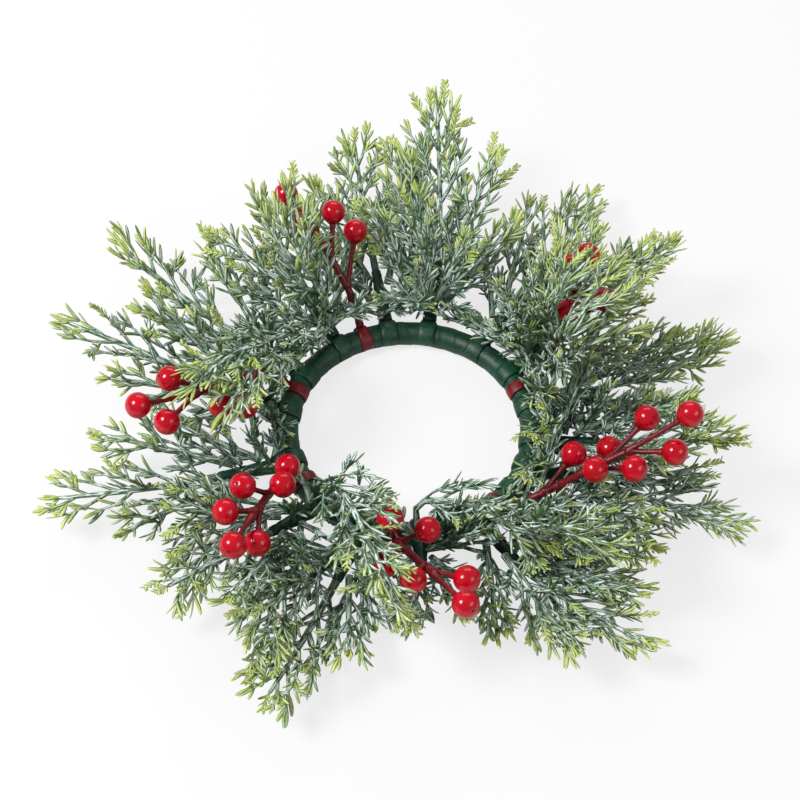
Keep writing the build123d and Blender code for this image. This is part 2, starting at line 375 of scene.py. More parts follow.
def berry_material():
    """Glossy plastic: red channel is how near a point is to the blossom end, green to the
    stalk, and blue how high it lies on its berry."""
    mat, nodes, links, bsdf = material("berry_red")
    blossom, stalk, high = leaf_channels(nodes, links)
    mottle = ramp(nodes, links, noise(nodes, links, 260, 4), 0.35, 0.7)
    colour = mix(nodes, links, mottle, *SKIN_REDS)
    # Painted shade: the lower half of each berry is darker.
    low = calc(nodes, links, "MULTIPLY", ramp(nodes, links, high, 0.50, 0.0), 0.75)
    colour = mix(nodes, links, low, colour, LOWER_SIDE_PAINTED_SHADE)
    colour = mix(nodes, links, ramp(nodes, links, stalk, 0.80, 1.0), colour, STALK_END)
    colour = mix(nodes, links, ramp(nodes, links, blossom, 0.992, 0.998), colour, BLOSSOM_END)
    links.new(colour, bsdf.inputs["Base Color"])
    bsdf.inputs["Roughness"].default_value = 0.15
    bsdf.inputs["Specular IOR Level"].default_value = 0.42
    bump(nodes, links, noise(nodes, links, 500, 2), 0.03, 0.0002, bsdf)
    return mat


def wire_material():
    """Scratched bare steel."""
    mat, nodes, links, bsdf = material("hoop_wire")
    scratch = noise(nodes, links, 700, 3)
    colour = mix(nodes, links, scratch, (0.30, 0.30, 0.29), (0.55, 0.55, 0.53))
    links.new(colour, bsdf.inputs["Base Color"])
    links.new(calc(nodes, links, "MULTIPLY_ADD", scratch, 0.2, 0.3), bsdf.inputs["Roughness"])
    bsdf.inputs["Metallic"].default_value = 1.0
    return mat


# Dark and light colour of the tapes.
TAPE_GREENS = (0.002, 0.028, 0.014), (0.004, 0.056, 0.026)
TAPE_REDS = (0.085, 0.001, 0.004), (0.190, 0.002, 0.008)

FOLIAGE = foliage_material()
GREEN_TAPE = tape_material("green_tape", *TAPE_GREENS, 0.34)
RED_TAPE = tape_material("red_tape", *TAPE_REDS, 0.28)
BERRY_RED = berry_material()
WIRE = wire_material()


# Sprays


class Strands:
    """Bent tapered blades, gathered and then swept all at once. Places are in the frame
    of their spray: x along the rib, y to the left, z up out of the spray."""

    def __init__(self):
        self.rows = []

    def add(self, base, yaw, tilt, length, half_width, curl, lift, roll, tips, out, chance,
            end):
        """A blade that leaves its base in a way given by yaw and tilt, bends sideways by
        curl and upwards by lift, and is turned about its way by roll. tips holds the red
        values of its foot and tip, out and chance are its green and blue values, and end
        is the width share of its tip."""
        row = (*base, yaw, tilt, length, half_width, curl, lift, roll, *tips, out, chance, end)
        self.rows.append(row)
        return row

    def swept(self, rings, sides, flat):
        """Vertices, faces, colours and grains. rings lists (share, width share), with None
        for each blade's own end share, and flat is the thickness as a share of the width."""
        r = np.array(self.rows)
        n = len(r)
        base = r[:, :3]
        yaw, tilt, length, half, curl, lift, roll, tip0, tip1, out, chance, end = r[:, 3:].T
        way = np.stack([np.cos(tilt) * np.cos(yaw), np.cos(tilt) * np.sin(yaw),
                        np.sin(tilt)], 1)
        left = np.stack([-np.sin(yaw), np.cos(yaw), 0 * yaw], 1)
        top = np.cross(way, left)
        cr, sr = np.cos(roll)[:, None], np.sin(roll)[:, None]
        left, top = cr * left + sr * top, cr * top - sr * left
        bend = curl[:, None] * left + lift[:, None] * top
        verts, colours, grains = [], [], []
        # Each blade reads the grain at a place of its own.
        place = np.arange(n) * 7.31 % 91
        for t, share in rings:
            share = end if share is None else share
            p = base + length[:, None] * (t * way + 0.5 * t * t * bend)
            d = way + t * bend
            d /= np.linalg.norm(d, axis=1)[:, None]
            s = left - np.sum(left * d, 1)[:, None] * d
            s /= np.linalg.norm(s, axis=1)[:, None]
            u = np.cross(d, s)
            w = half * share
            for k in range(sides):
                a = 2 * math.pi * (k + 0.5 * (sides != 4)) / sides
                verts.append(p + (w * math.cos(a))[:, None] * s
                             + (w * flat * math.sin(a))[:, None] * u)
                up = 0.5 + 0.5 * (math.sin(a) * np.sign(u[:, 2]))
                colours.append(np.stack([tip0 + (tip1 - tip0) * t, out, chance, up], 1))
                grains.append(np.stack([place + w * math.cos(a), w * flat * math.sin(a),
                                        place + 0.12 * t * length], 1))
        m = len(rings)
        verts = np.stack(verts, 1).reshape(-1, 3)
        colours = np.stack(colours, 1).reshape(-1, 4)
        grains = np.stack(grains, 1).reshape(-1, 3)
        starts = np.arange(n) * m * sides
        quads = wall(m, sides) + (caps(m, sides) if sides == 4 else [])
        faces = (np.array(quads)[None] + starts[:, None, None]).reshape(-1, 4).tolist()
        if sides != 4:
            faces.extend([[int(start) + i for i in cap] for start in starts
                          for cap in caps(m, sides)])
        return verts, faces, colours, grains


def strand_point(r, t):
    """Point, yaw and tilt at a share t of a strand, given by its row."""
    yaw, tilt, length, _, curl, lift, roll = r[3:10]
    cy, sy, ct, st = math.cos(yaw), math.sin(yaw), math.cos(tilt), math.sin(tilt)
    way = np.array([ct * cy, ct * sy, st])
    left = np.array([-sy, cy, 0.0])
    top = np.array([-st * cy, -st * sy, ct])
    cr, sr = math.cos(roll), math.sin(roll)
    bend = curl * (cr * left + sr * top) + lift * (cr * top - sr * left)
    d = way + t * bend
    p = np.array(r[:3]) + length * (t * way + 0.5 * t * t * bend)
    return p, math.atan2(d[1], d[0]), math.atan2(d[2], math.hypot(d[0], d[1]))


# Rings of a blade: its share of the length, and the width share there.
LEAF_RINGS = ((0.0, 0.70), (0.3, 0.95), (0.65, 1.0), (0.88, 0.72), (1.0, None))
TWIG_RINGS = ((0.0, 1.15), (0.33, 0.95), (0.66, 0.80), (1.0, 0.62))
RIB_RINGS = tuple((k / 11, 1 - 0.55 * k / 11) for k in range(12))
# How long a twig may be at each station of its rib, as shares of the spray's length.
REACH_SHARES = ((0.0, 0.18), (0.08, 0.27), (0.15, 0.34), (0.35, 0.39), (0.56, 0.34),
                (0.77, 0.24), (0.9, 0.15), (1.0, 0.08))
# Shares of the spray's length where the rib ends and where its last twig leaves.
RIB_END, LAST_TWIG = 0.88, 0.86
# Distances in millimetres between the twigs of a rib and the leaves of a twig.
TWIG_GAP, LEAF_GAP = 4.4, 2.1
# A spray longer than this has a stout rib and may end in a fern.
LONG_SPRAY = 45
# Lengths and half widths in millimetres that the leaves are drawn from, and the angles in
# radians at which twigs leave a rib and leaves a twig.
LEAF_LENGTHS, LEAF_HALVES = (6.6, 9.8), (0.44, 0.62)
TWIG_ANGLES, LEAF_ANGLES = (0.60, 0.88), (0.40, 0.60)
# Width of the leaves on most sprays, on long bent sprays, and on the fine side.
COARSE, BENT, THIN = 1.4, 1.35, 1.1


class Spray:
    """One moulded frond, grown in its own frame, in millimetres. tone shifts its colour,
    start is the share of its length without twigs, width scales the twigs' length, full
    their number, and coarse the width and spacing of the leaves."""

    def __init__(self, length, rng, tone, start=0.07, width=1.0, full=1.0, coarse=COARSE):
        self.length, self.rng, self.tone = length, rng, tone
        self.start, self.width, self.full, self.coarse = start, width, full, coarse
        self.ripe = min(1.0, max(0.3, (length - 8) / 40))
        self.ribs, self.twigs, self.leaves = Strands(), Strands(), Strands()
        self.grow()

    def out(self, p):
        """How far out on the spray a point lies, less on a short spray."""
        share = min(1.0, max(0.0, math.hypot(p[0], 1.2 * p[1]) / self.length))
        return self.ripe * share ** 1.3

    def leaf(self, p, yaw, tilt, length, young=0.0, slim=1.0):
        """One blunt leaf; young ones are more yellow."""
        rng = self.rng
        chance = min(1.0, max(0.0, rng.normal(0.5, 0.26) + self.tone))
        self.leaves.add(p, yaw, tilt, length, slim * self.coarse * rng.uniform(*LEAF_HALVES),
                        rng.normal(0, 0.20), rng.normal(0.10, 0.20), rng.normal(0, 0.5),
                        (0.1 + young, 1.0), self.out(p) * 0.9 + young, chance,
                        rng.uniform(0.16, 0.40))

    def tuft(self, p, yaw, tilt, length, young=0.0):
        """The leaves at the end of a twig."""
        rng = self.rng
        self.leaf(p, yaw + rng.normal(0, 0.08), tilt, length, young)
        for side in (1, -1):
            self.leaf(p, yaw + side * rng.uniform(0.26, 0.46), tilt + rng.normal(0, 0.15),
                      length * rng.uniform(0.7, 1.0), young)

    def fern(self, p, yaw, tilt, length):
        """A slim twig end with a comb of short leaves on both sides."""
        rng = self.rng
        row = self.twigs.add(p, yaw, tilt, length, 0.5, rng.normal(0, 0.15),
                             rng.normal(0, 0.12), 0.0, (0.3, 0.8), self.out(p) + 0.25,
                             0.6, 0.5)
        count = int(length / 1.9)
        for k in range(count):
            q, y, v = strand_point(row, (k + 0.6) / count)
            for side in (1, -1):
                self.leaf(q, y + side * rng.uniform(0.5, 0.7), v + rng.normal(0, 0.1),
                          3.4 * (1.1 - 0.5 * k / count), 0.3, 0.8)

    def twig(self, p, yaw, tilt, length, half, depth=0):
        """Side twig with forked sub-twigs when it is long, else with leaves alone."""
        rng = self.rng
        leaf_length = rng.uniform(*LEAF_LENGTHS) * min(1.0, 0.48 + length / 26)
        stalk = max(1.5, length - leaf_length * 0.85)
        # Twigs bend towards the way of their rib, and their forks either way.
        hand = math.copysign(1, yaw) if depth == 0 else rng.choice((-1, 1))
        curl = -0.42 * hand * rng.uniform(0.5, 1.3)
        row = self.twigs.add(p, yaw, tilt, stalk, half, curl, rng.normal(0.02, 0.16), 0.0,
                             (0.0, 0.25), self.out(p), 0.35 + self.tone, 0.5)
        first = 0.42 if depth == 0 and length > 11 else 0.2
        count = self.full * stalk * (1 - first) / (LEAF_GAP * self.coarse)
        count = max(2, int(round(count)))
        side = 1 if rng.random() < 0.5 else -1
        for k in range(count):
            t = first + (0.95 - first) * (k + rng.uniform(-0.2, 0.2)) / count
            q, y, v = strand_point(row, t)
            remaining = length * (1 - t)
            spread = side * rng.uniform(*LEAF_ANGLES)
            lift = v + rng.normal(0.12, 0.26)
            if remaining > 10 and k % 3 == 0 and half > 0.55:
                self.twig(q, y + spread, lift, remaining * rng.uniform(0.66, 0.85),
                          half * 0.74, depth + 1)
            else:
                self.leaf(q, y + spread, lift, leaf_length * rng.uniform(0.7, 1.05))
            side = -side
        q, y, v = strand_point(row, 0.97)
        if length > 9 and rng.random() < 0.16:
            self.fern(q, y, v, leaf_length * 1.15)
        else:
            self.tuft(q, y, v, leaf_length)

    def grow(self):
        """The rib, its twigs to both sides in turn, and the leaves at its end."""
        rng, length = self.rng, self.length
        half = 1.8 if length > LONG_SPRAY else 0.9 + 0.02 * length
        row = self.ribs.add((0, 0, 0), 0.0, 0.0, length * RIB_END, half,
                            0.0, 0.0, 0.0, (0.0, 0.2), 0.25, 0.30 + self.tone, 0.4)
        leafy = LAST_TWIG - self.start
        count = int(round(self.full * length * leafy / TWIG_GAP))
        side = 1 if rng.random() < 0.5 else -1
        for k in range(count):
            t = (self.start + leafy * (k + rng.uniform(-0.25, 0.25)) / count) / RIB_END
            p, yaw, tilt = strand_point(row, min(t, 1.0))
            reach = np.interp(t * RIB_END, *zip(*REACH_SHARES)) * length
            reach *= rng.uniform(0.80, 1.10)
            angle = rng.uniform(*TWIG_ANGLES) * (1 - 0.3 * t)
            self.twig(p, yaw + side * angle, rng.normal(0.10, 0.22), reach * self.width,
                      0.98 - 0.26 * t)
            side = -side
        p, yaw, tilt = strand_point(row, 1.0)
        if length > LONG_SPRAY and rng.random() < 0.5:
            self.fern(p, yaw, tilt, 0.12 * length)
        else:
            self.tuft(p, yaw, tilt, max(4.5, 0.12 * length), 0.2)

    def built(self, droop=0.0, swing=0.0):
        """Meshes of the rib, twigs and leaves, bent up by droop and sideways by swing."""
        parts = (self.ribs.swept(RIB_RINGS, 6, 0.72), self.twigs.swept(TWIG_RINGS, 4, 0.8),
                 self.leaves.swept(LEAF_RINGS, 4, 0.5))
        for v, _, _, _ in parts:
            v[:, 2] += droop * v[:, 0] ** 2 / self.length
            v[:, 1] += swing * v[:, 0] ** 2 / self.length
        return parts


def smooth_path(points, count=40):
    """Points of a smooth curve through the given ones, count to each stretch."""
    p = np.array([2 * np.array(points[0]) - points[1], *points,
                  2 * np.array(points[-1]) - points[-2]], float)
    out = []
    for k in range(1, len(p) - 2):
        for t in np.linspace(0, 1, count, endpoint=False):
            out.append(0.5 * (2 * p[k] + (p[k + 1] - p[k - 1]) * t
                              + (2 * p[k - 1] - 5 * p[k] + 4 * p[k + 1] - p[k + 2]) * t * t
                              + (3 * p[k] - p[k - 1] - 3 * p[k + 1] + p[k + 2]) * t ** 3))
    out.append(p[-2])
    return np.array(out)


def along_path(v, path):
    """Bend a straight spray so that its rib follows the path, with its face turned
    upwards and a little back."""
    run = distances(path)
    ways = directions(path)
    level = path[-1] - path[0]
    level = np.array([level[0], level[1], 0.0])
    above = UP - 0.6 * unit(level + 1e-6)
    s = np.clip(v[:, 0], 0, run[-1])
    p = np.stack([np.interp(s, run, path[:, k]) for k in range(3)], 1)
    way = np.stack([np.interp(s, run, ways[:, k]) for k in range(3)], 1)
    way /= np.linalg.norm(way, axis=1)[:, None]
    left = np.cross(above, way)
    left /= np.linalg.norm(left, axis=1)[:, None]
    face = np.cross(way, left)
    return p + (v[:, 0] - s)[:, None] * way + v[:, 1:2] * left + v[:, 2:3] * face


def spray_frame(solid):
    """Base, rib way, left, face way and length of a flat CAD spray, found from the two
    corners of its rib's foot, which lie behind all its other corners."""
    centre = solid.mean(0)
    _, _, axes = np.linalg.svd(solid - centre, full_matrices=False)
    face = axes[2] if axes[2][2] > 0 else -axes[2]
    level = solid - np.outer((solid - centre) @ face, face)
    gaps = np.linalg.norm(level[:, None] - level[None], axis=2)
    best = None
    for i, j in zip(*np.where(np.abs(gaps - RIB_WIDTH) < LINE_SLACK / 3)):
        base = (level[i] + level[j]) / 2
        way = unit(np.cross(unit(level[j] - level[i]), face))
        if np.dot(way, centre - base) < 0:
            continue
        along = (level - base) @ way
        beside = np.abs((level - base) @ np.cross(face, way))
        on_rib = along[beside < LINE_SLACK]
        if along.min() < -LINE_SLACK or len(on_rib) == 0:
            continue
        if on_rib.max() < 0.8 * along.max():
            continue
        if best is None or on_rib.max() > best[4]:
            best = base, way, np.cross(face, way), face, on_rib.max()
    return best


# Long sprays that arch over the others: body, frost, width share and the rib's points.
ARCHES = (
    ("cedar_pick_10", 0.95, 0.68, ((-42, -40.5, 8), (-37.5, -38, 24), (-33, -46, 36),
                                   (-27.5, -58, 43), (-20.5, -82, 50), (-13.5, -103, 53),
                                   (-5, -117, 47))),
    ("cedar_pick_11", 1.00, 1.00, ((-24, -52, 8), (-35, -64, 15), (-50, -80, 20),
                                   (-59, -98, 20), (-62, -115, 14))),
    ("cedar_pick_10", 0.95, 0.95, ((-42, -40.5, 8), (-57, -46, 17), (-74, -58, 22),
                                   (-86, -73, 19), (-91, -87, 11))),
    ("cedar_pick_07", 0.75, 0.70, ((-48.5, 33, 8), (-44, 31, 28), (-55, 16, 46),
                                   (-70, 0, 56), (-83, -16, 61), (-92, -27, 60))),
    ("cedar_pick_08", 0.90, 0.80, ((-57, 11, 10), (-53, 17, 28), (-57, 12, 46),
                                   (-62, -5, 53), (-72, -26, 56), (-77, -35, 54))),
    ("cedar_pick_06", 0.45, 0.85, ((-31, 50, 10), (-33, 50, 30), (-42, 55, 48),
                                   (-45, 66, 59), (-45.5, 80, 64), (-46, 90, 64))),
    ("cedar_pick_01", 0.95, 0.80, ((56, 10, 9), (54, 14.5, 32), (56, 9, 51), (60, 7.5, 66),
                                   (66, 10.5, 70), (74.5, 14, 69), (83, 20, 65),
                                   (91, 26, 58))),
    ("cedar_pick_01", 0.85, 0.90, ((57, 7, 9), (58, 7, 30), (63, 5, 46), (72, 4, 56),
                                   (82, 6, 58), (93, 10, 52))),
    ("cedar_pick_01", 0.60, 0.90, ((57, 6, 9), (52, 3, 24), (49, -8, 37), (47, -21, 45))),
    ("cedar_pick_16", 0.60, 0.90, ((58, -10, 9), (52, -14, 22), (48, -24, 35),
                                   (45, -37, 43))),
    ("cedar_pick_15", 0.60, 0.90, ((53, -24, 9), (47, -30, 21), (43, -40, 33),
                                   (40, -53, 41))),
    ("cedar_pick_02", 0.80, 0.90, ((50, 30, 10), (49, 23, 28), (47, 16, 44), (50, 8, 56))),
    ("cedar_pick_02", 0.90, 0.85, ((50, 30, 10), (52, 28, 30), (56, 24, 50), (64, 23, 66),
                                   (75, 28, 71), (87, 36, 70))),
    ("cedar_pick_03", 0.70, 0.85, ((37, 47, 8), (44, 36, 28), (55, 33, 46),
                                   (60, 46, 58), (60, 61, 62))),
    ("cedar_pick_12", 1.00, 0.72, ((1, -55, 8), (-1, -48, 15), (1, -46, 21), (9, -49, 26),
                                   (20, -54, 29), (31, -62, 30), (43, -69, 30),
                                   (56, -73, 27))),
    ("cedar_pick_14", 0.90, 0.90, ((44, -39, 10), (40, -50, 26), (42, -68, 38),
                                   (57, -81, 46), (72, -92, 47))),
)


def path_length(path):
    """Length of a path from end to end."""
    return np.linalg.norm(np.diff(path, axis=0), axis=1).sum()


class Bunch:
    """Verts, faces, colours, grains and frost of all the sprays of a pick, in metres."""

    def __init__(self):
        self.verts, self.faces, self.colours = [], [], []
        self.grains, self.frost, self.total = [], [], 0

    def add(self, v, faces, colours, grains, frost):
        self.verts.append(v)
        self.faces.extend([[i + self.total for i in q] for q in faces])
        self.colours.append(colours)
        self.grains.append(grains)
        self.frost.append(np.full(len(v), frost))
        self.total += len(v)

    def add_bent(self, spray, path, frost):
        """Add a spray whose rib follows a path in millimetres."""
        for v, faces, colours, grains in spray.built():
            self.add(along_path(v, path) * MM, faces, colours, grains, frost)


def stem_way(body):
    """Direction of a pick's stem, and how far its end is from its root, in metres."""
    root = ROOTS[body]
    co = np.array([v.co for v in frame["nodes"][body + "_stem"].data.vertices])
    reach = np.linalg.norm(co - root, axis=1)
    end = co[reach > reach.max() - 0.25 * MM].mean(0)
    return unit(end - root), np.dot(end - root, unit(end - root))


# Distance in millimetres from the ring's centre line at which the tufts leave a stem.
TUFT_FOOT = 8.5


def ring_tufts(body, rng):
    """Paths of two short sprays that lean over the ring, one to each side of a pick."""
    root = ROOTS[body] / MM
    out = outward(root)
    turn = np.stack([out, np.cross(UP, out), UP])
    base = root + stem_way(body)[0] * TUFT_FOOT
    for side in (1, -1):
        scale = rng.uniform(0.8, 1.1)
        rows = [(0, 0, 2.5)] + [np.array(p) * scale + rng.normal(0, 0.8, 3) for p in
                                ((-2, 5 * side, 8), (-5, 12 * side, 12), (-6, 19 * side, 13))]
        yield base + np.array(rows) @ turn


# The right side and the front have the fuller sprays, and the left side the thinner ones.
# Some picks have wider sprays, most of all the one at the left front.
FULLNESS = dict(zip(CEDARS, (1.4, 1.25, 0.98, 0.92, 0.9, 0.85, 0.75, 0.72,
                             0.8, 0.78, 1.1, 1.3, 1.35, 1.3, 1.35, 1.4)))
WIDTHS = dict.fromkeys(CEDARS, 1.0) | {"cedar_pick_11": 1.4, "cedar_pick_09": 1.1,
                                       "cedar_pick_10": 1.05, "cedar_pick_16": 1.1,
                                       "cedar_pick_01": 1.1, "cedar_pick_13": 1.1}
# The right side has the finer leaves, and the later half of the picks the more frost.
FINE = {CEDARS[k] for k in (0, 1, 2, 13, 14, 15)}
FROSTED = CEDARS[8:]
# Least height of a leaf, the height above which leaves lie flatter, and the radius of
# the opening.
TABLE_GAP, CROWN, OPENING = 0.3 * MM, 68.0 * MM, 44.0 * MM


def settled(verts):
    """The lowest leaves rest on the table, the highest ones lie flatter, and those that
    reach over the opening lean back from it."""
    verts[:, 2] = np.maximum(verts[:, 2], TABLE_GAP)
    high = verts[:, 2] > CROWN
    verts[high, 2] = CROWN + 0.65 * (verts[high, 2] - CROWN)
    away = np.hypot(verts[:, 0], verts[:, 1])
    inside = away < OPENING
    verts[inside, :2] *= ((0.25 * away + 0.75 * OPENING) / away)[inside, None]
    return verts


def make_sprays(body, seed):
    """All the foliage of a cedar pick: a spray on each CAD solid, the tufts over the ring,
    and the pick's long bent sprays."""
    rng = np.random.default_rng(seed)
    bunch = Bunch()
    node = body + "_sprays"
    solids = sorted(solids_of(node), key=lambda s: tuple(np.round(s.mean(0), 5)))
    for solid in solids:
        base, way, left, face, length = spray_frame(solid)
        spray = Spray(length / MM, rng, rng.normal(0, 0.06), width=WIDTHS[body],
                      full=FULLNESS[body], coarse=THIN if body in FINE else COARSE)
        turn = np.stack([way, left, face], 0)
        frost = rng.uniform(0.25, 0.75) + (0.2 if body in FROSTED else 0.05)
        for v, f, c, g in spray.built(rng.normal(0.02, 0.05), rng.normal(0, 0.04)):
            bunch.add(base + (v * MM) @ turn, f, c, g, frost)
    for points in ring_tufts(body, rng):
        path = smooth_path(points, 8)
        frost = rng.uniform(0.3, 0.8)
        spray = Spray(path_length(path), rng, -0.05, start=0.16, width=1.1)
        bunch.add_bent(spray, path, frost)
    for owner, frost, width, points in ARCHES:
        if owner != body:
            continue
        path = smooth_path(points)
        spray = Spray(path_length(path), rng, 0.05, start=0.22, width=width, full=1.1,
                      coarse=THIN if body in FINE else BENT)
        bunch.add_bent(spray, path, frost)
    verts = settled(np.concatenate(bunch.verts))
    piece = add_mesh(body + "_fronds", verts, bunch.faces, FOLIAGE, body,
                     node, np.concatenate(bunch.colours))
    attr = piece.data.attributes.new("frost", "FLOAT", "POINT")
    attr.data.foreach_set("value", np.concatenate(bunch.frost).astype(np.float32))
    attr = piece.data.attributes.new("grain", "FLOAT_VECTOR", "POINT")
    attr.data.foreach_set("vector", np.concatenate(bunch.grains).astype(np.float32).ravel())


for number, body in enumerate(CEDARS):
    make_sprays(body, SPRAY_SEED + number)


# Stems and clasps


def clasp_band(root, width, seed):
    """Turns of tape round the ring, open below, thinning out at both ends and edges."""
    out = outward(root)
    around = np.cross(out, UP)
    # The inner side lies in the tape of the ring.
    inner = CLASP_INNER - 0.25 * MM
    rng = np.random.default_rng(seed)
    phase = rng.uniform(0, 1)
    rows, steps, edge = [], 48, 22
    for k in range(steps + 1):
        t = k / steps
        a = math.radians(CLASP_START + CLASP_SPAN * t)
        radial = math.cos(a) * out + math.sin(a) * UP
        ends = min(1.0, 0.35 + 5 * min(t, 1 - t))
        for i in range(edge):
            b = 2 * math.pi * i / edge
            c, s = math.cos(b), math.sin(b)
            across = math.copysign(abs(c) ** 0.6, c) * width / 2
            turn = (across / width * 2 + t * 1.3 + phase) % 1.0
            full = CLASP_OUTER - 0.1 * MM - 0.22 * MM * tape_step(turn, CLASP_LAP)
            high = inner + (full - CLASP_INNER) * ends * abs(s) ** 0.6
            radius = high if s > 0 else inner
            rows.append(root + radius * radial + across * around)
    return rows, wall(steps + 1, edge) + caps(steps + 1, edge)


# A cedar stem starts outside the ring's tape with its full radius, which it keeps along
# the neck, and then tapers.
STEM_START, STEM_NECK = 6.0 * MM, 9 * MM
STEM_RADIUS, STEM_TAPER = 3.0 * MM, 1.0 * MM


def make_cedar_stem(body, seed):
    """Tapered stem, wound with tape, and its clasp round the ring."""
    node = body + "_stem"
    root = ROOTS[body]
    way, length = stem_way(body)
    rng = np.random.default_rng(seed)
    steps = np.linspace(STEM_START, length, 40)
    tapered = np.maximum(steps - STEM_NECK, 0) / (length - STEM_NECK)
    radii = STEM_RADIUS - tapered * STEM_TAPER
    radii[-1] *= 0.72
    path = [root + way * s for s in steps]
    stem = tube(path, radii, 18, UP, tape_ridge(4.5 * MM, 0.22 * MM, rng))
    verts, faces = merged([clasp_band(root, CEDAR_CLASP_WIDTH, seed), stem])
    add_mesh(body + "_bound_stem", verts, faces, GREEN_TAPE, body, node)


for number, body in enumerate(CEDARS):
    make_cedar_stem(body, STEM_SEED + number)


# Ring


def make_ring():
    """The hoop's tape: turns that overlap, soft lumps, and a flat band to stand on."""
    rng = np.random.default_rng(RING_SEED)
    around, about = 760, 30
    turns, height, lumps = 44, 0.16 * MM, 0.05 * MM
    phases = rng.uniform(0, 2 * math.pi, 4)
    verts = []
    for k in range(around):
        u = 2 * math.pi * k / around
        out = np.array([math.cos(u), math.sin(u), 0.0])
        for i in range(about):
            v = 2 * math.pi * i / about
            turn = (turns * u + v) / (2 * math.pi) % 1.0
            step = height * tape_step(turn, TAPE_LAP) - height
            lump = lumps * (math.sin(13 * u + 2 * v + phases[0])
                            + math.sin(29 * u - v + phases[1]))
            r = TUBE_RADIUS + step + lump - lumps
            p = out * (RING_RADIUS + r * math.cos(v))
            p[2] = max(0.0, RING_HEIGHT + r * math.sin(v))
            verts.append(p)
    faces = [[k * about + i, ((k + 1) % around) * about + i,
              ((k + 1) % around) * about + (i + 1) % about, k * about + (i + 1) % about]
             for k in range(around) for i in range(about)]
    add_mesh("ring_tape", verts, faces, GREEN_TAPE, "ring", "ring_tape_wrap")


make_ring()
wire_node = frame["nodes"]["ring_frame_wire"]
wire_node.data.materials.clear()
wire_node.data.materials.append(WIRE)


# Berry picks

# For each pick, with angles in degrees and lengths in millimetres: rise and length of the
# neck, sweep, rise and length of the branch, and for each berry the station of its stalk
# and its place along, beside and above the branch, as shares of the branch's length.
BERRY_SHARES = (
    (54, 18, 68, 27, 73,
     ((0.60, 0.98, -0.07, -0.01), (0.52, 0.76, -0.09, 0.08), (0.60, 0.89, 0.07, -0.05),
      (0.33, 0.63, 0.19, 0.05), (0.12, 0.41, 0.19, -0.02))),
    (50, 16, 42, 35, 67,
     ((0.27, 0.52, -0.10, 0.12), (0.13, 0.37, 0.09, 0.12), (0.0, 0.17, 0.06, 0.15),
      (0.54, 0.71, -0.13, 0.03), (0.62, 0.97, 0.0, -0.03), (0.48, 0.70, 0.07, -0.11))),
    (50, 16, 32, 37, 66,
     ((0.0, 0.36, -0.08, 0.28), (0.07, 0.33, 0.12, 0.12), (0.16, 0.51, -0.23, 0.10),
      (0.49, 0.67, -0.13, 0.03), (0.55, 0.78, 0.13, -0.03), (0.62, 0.97, 0.03, -0.07))),
    (52, 18, 56, 37, 79,
     ((0.15, 0.36, 0.11, 0.02), (0.25, 0.48, -0.08, 0.10), (0.36, 0.50, 0.12, -0.09),
      (0.42, 0.64, -0.12, 0.02), (0.50, 0.75, 0.14, -0.03), (0.62, 0.83, -0.09, -0.05),
      (0.62, 0.98, 0.01, 0.03))),
    (56, 20, 36, 45, 47,
     ((0.62, 0.95, 0.08, -0.18), (0.50, 0.83, 0.10, 0.17), (0.27, 0.69, -0.30, 0.15),
      (0.0, 0.53, -0.14, 0.58))),
    (52, 18, 21, 46, 54,
     ((0.38, 0.67, -0.19, 0.03), (0.11, 0.46, -0.25, 0.09), (0.45, 0.74, 0.14, 0.10),
      (0.62, 0.97, 0.05, -0.05))),
)
# Share of the branch's length at which it ends, where the last stalks leave it.
BRANCH_END = 0.62


def turned(v, about, degrees):
    """A direction turned about another."""
    return np.array(Matrix.Rotation(math.radians(degrees), 3, Vector(about)) @ Vector(v))


def make_berry(centre, way, rng):
    """Slightly uneven ball with a dimple at the blossom end and a collar at the stalk."""
    side = unit(np.cross(way, (0.3, 0.2, 0.93)))
    other = np.cross(way, side)
    rings, sides = 22, 28
    verts, colours, faces = [], [], []
    flat = rng.uniform(0.965, 0.995)
    spin = rng.uniform(0, 6)
    collar = rng.uniform(0.2, 1.3)
    # Some berries reach the red value at which the dark blossom dot shows.
    dot = 0.5 if rng.random() < 0.4 else 0.4
    for k in range(rings + 1):
        a = math.pi * k / rings
        for i in range(sides):
            b = 2 * math.pi * i / sides
            r = BERRY_RADIUS * (1 - 0.012 * math.sin(3 * b + spin) * math.sin(a) ** 2)
            r -= 0.30 * MM * math.exp(-(a / 0.13) ** 2)
            r += collar * MM * math.exp(-((math.pi - a) / 0.34) ** 2)
            verts.append(centre + r * (flat * math.cos(a) * way + math.sin(a)
                                       * (math.cos(b) * side + math.sin(b) * other)))
            high = 0.5 + 0.5 * (verts[-1][2] - centre[2]) / BERRY_RADIUS
            colours.append((dot + 0.5 * math.cos(a), 0.5 - 0.5 * math.cos(a), high, 1))
    for k in range(rings):
        for i in range(sides):
            faces.append([k * sides + i, (k + 1) * sides + i, (k + 1) * sides + (i + 1) % sides,
                          k * sides + (i + 1) % sides])
    return verts, faces, colours


def branch(start, knee, end):
    """Path and radii of the neck, a short swollen bend at the knee, and the branch."""
    neck_way, way = unit(knee - start), unit(end - knee)
    first = np.linalg.norm(knee - start)
    total = first + np.linalg.norm(end - knee)
    path, radii = [], []
    for t in np.linspace(0, 1, 46):
        d = t * total
        p = start + neck_way * d if d < first else knee + way * (d - first)
        bend = math.exp(-((d - first) / (2.2 * MM)) ** 2)
        path.append(p + bend * 0.6 * MM * unit(way - neck_way))
        radii.append((1.75 - 0.4 * t + 0.3 * bend) * MM)
    return path, radii


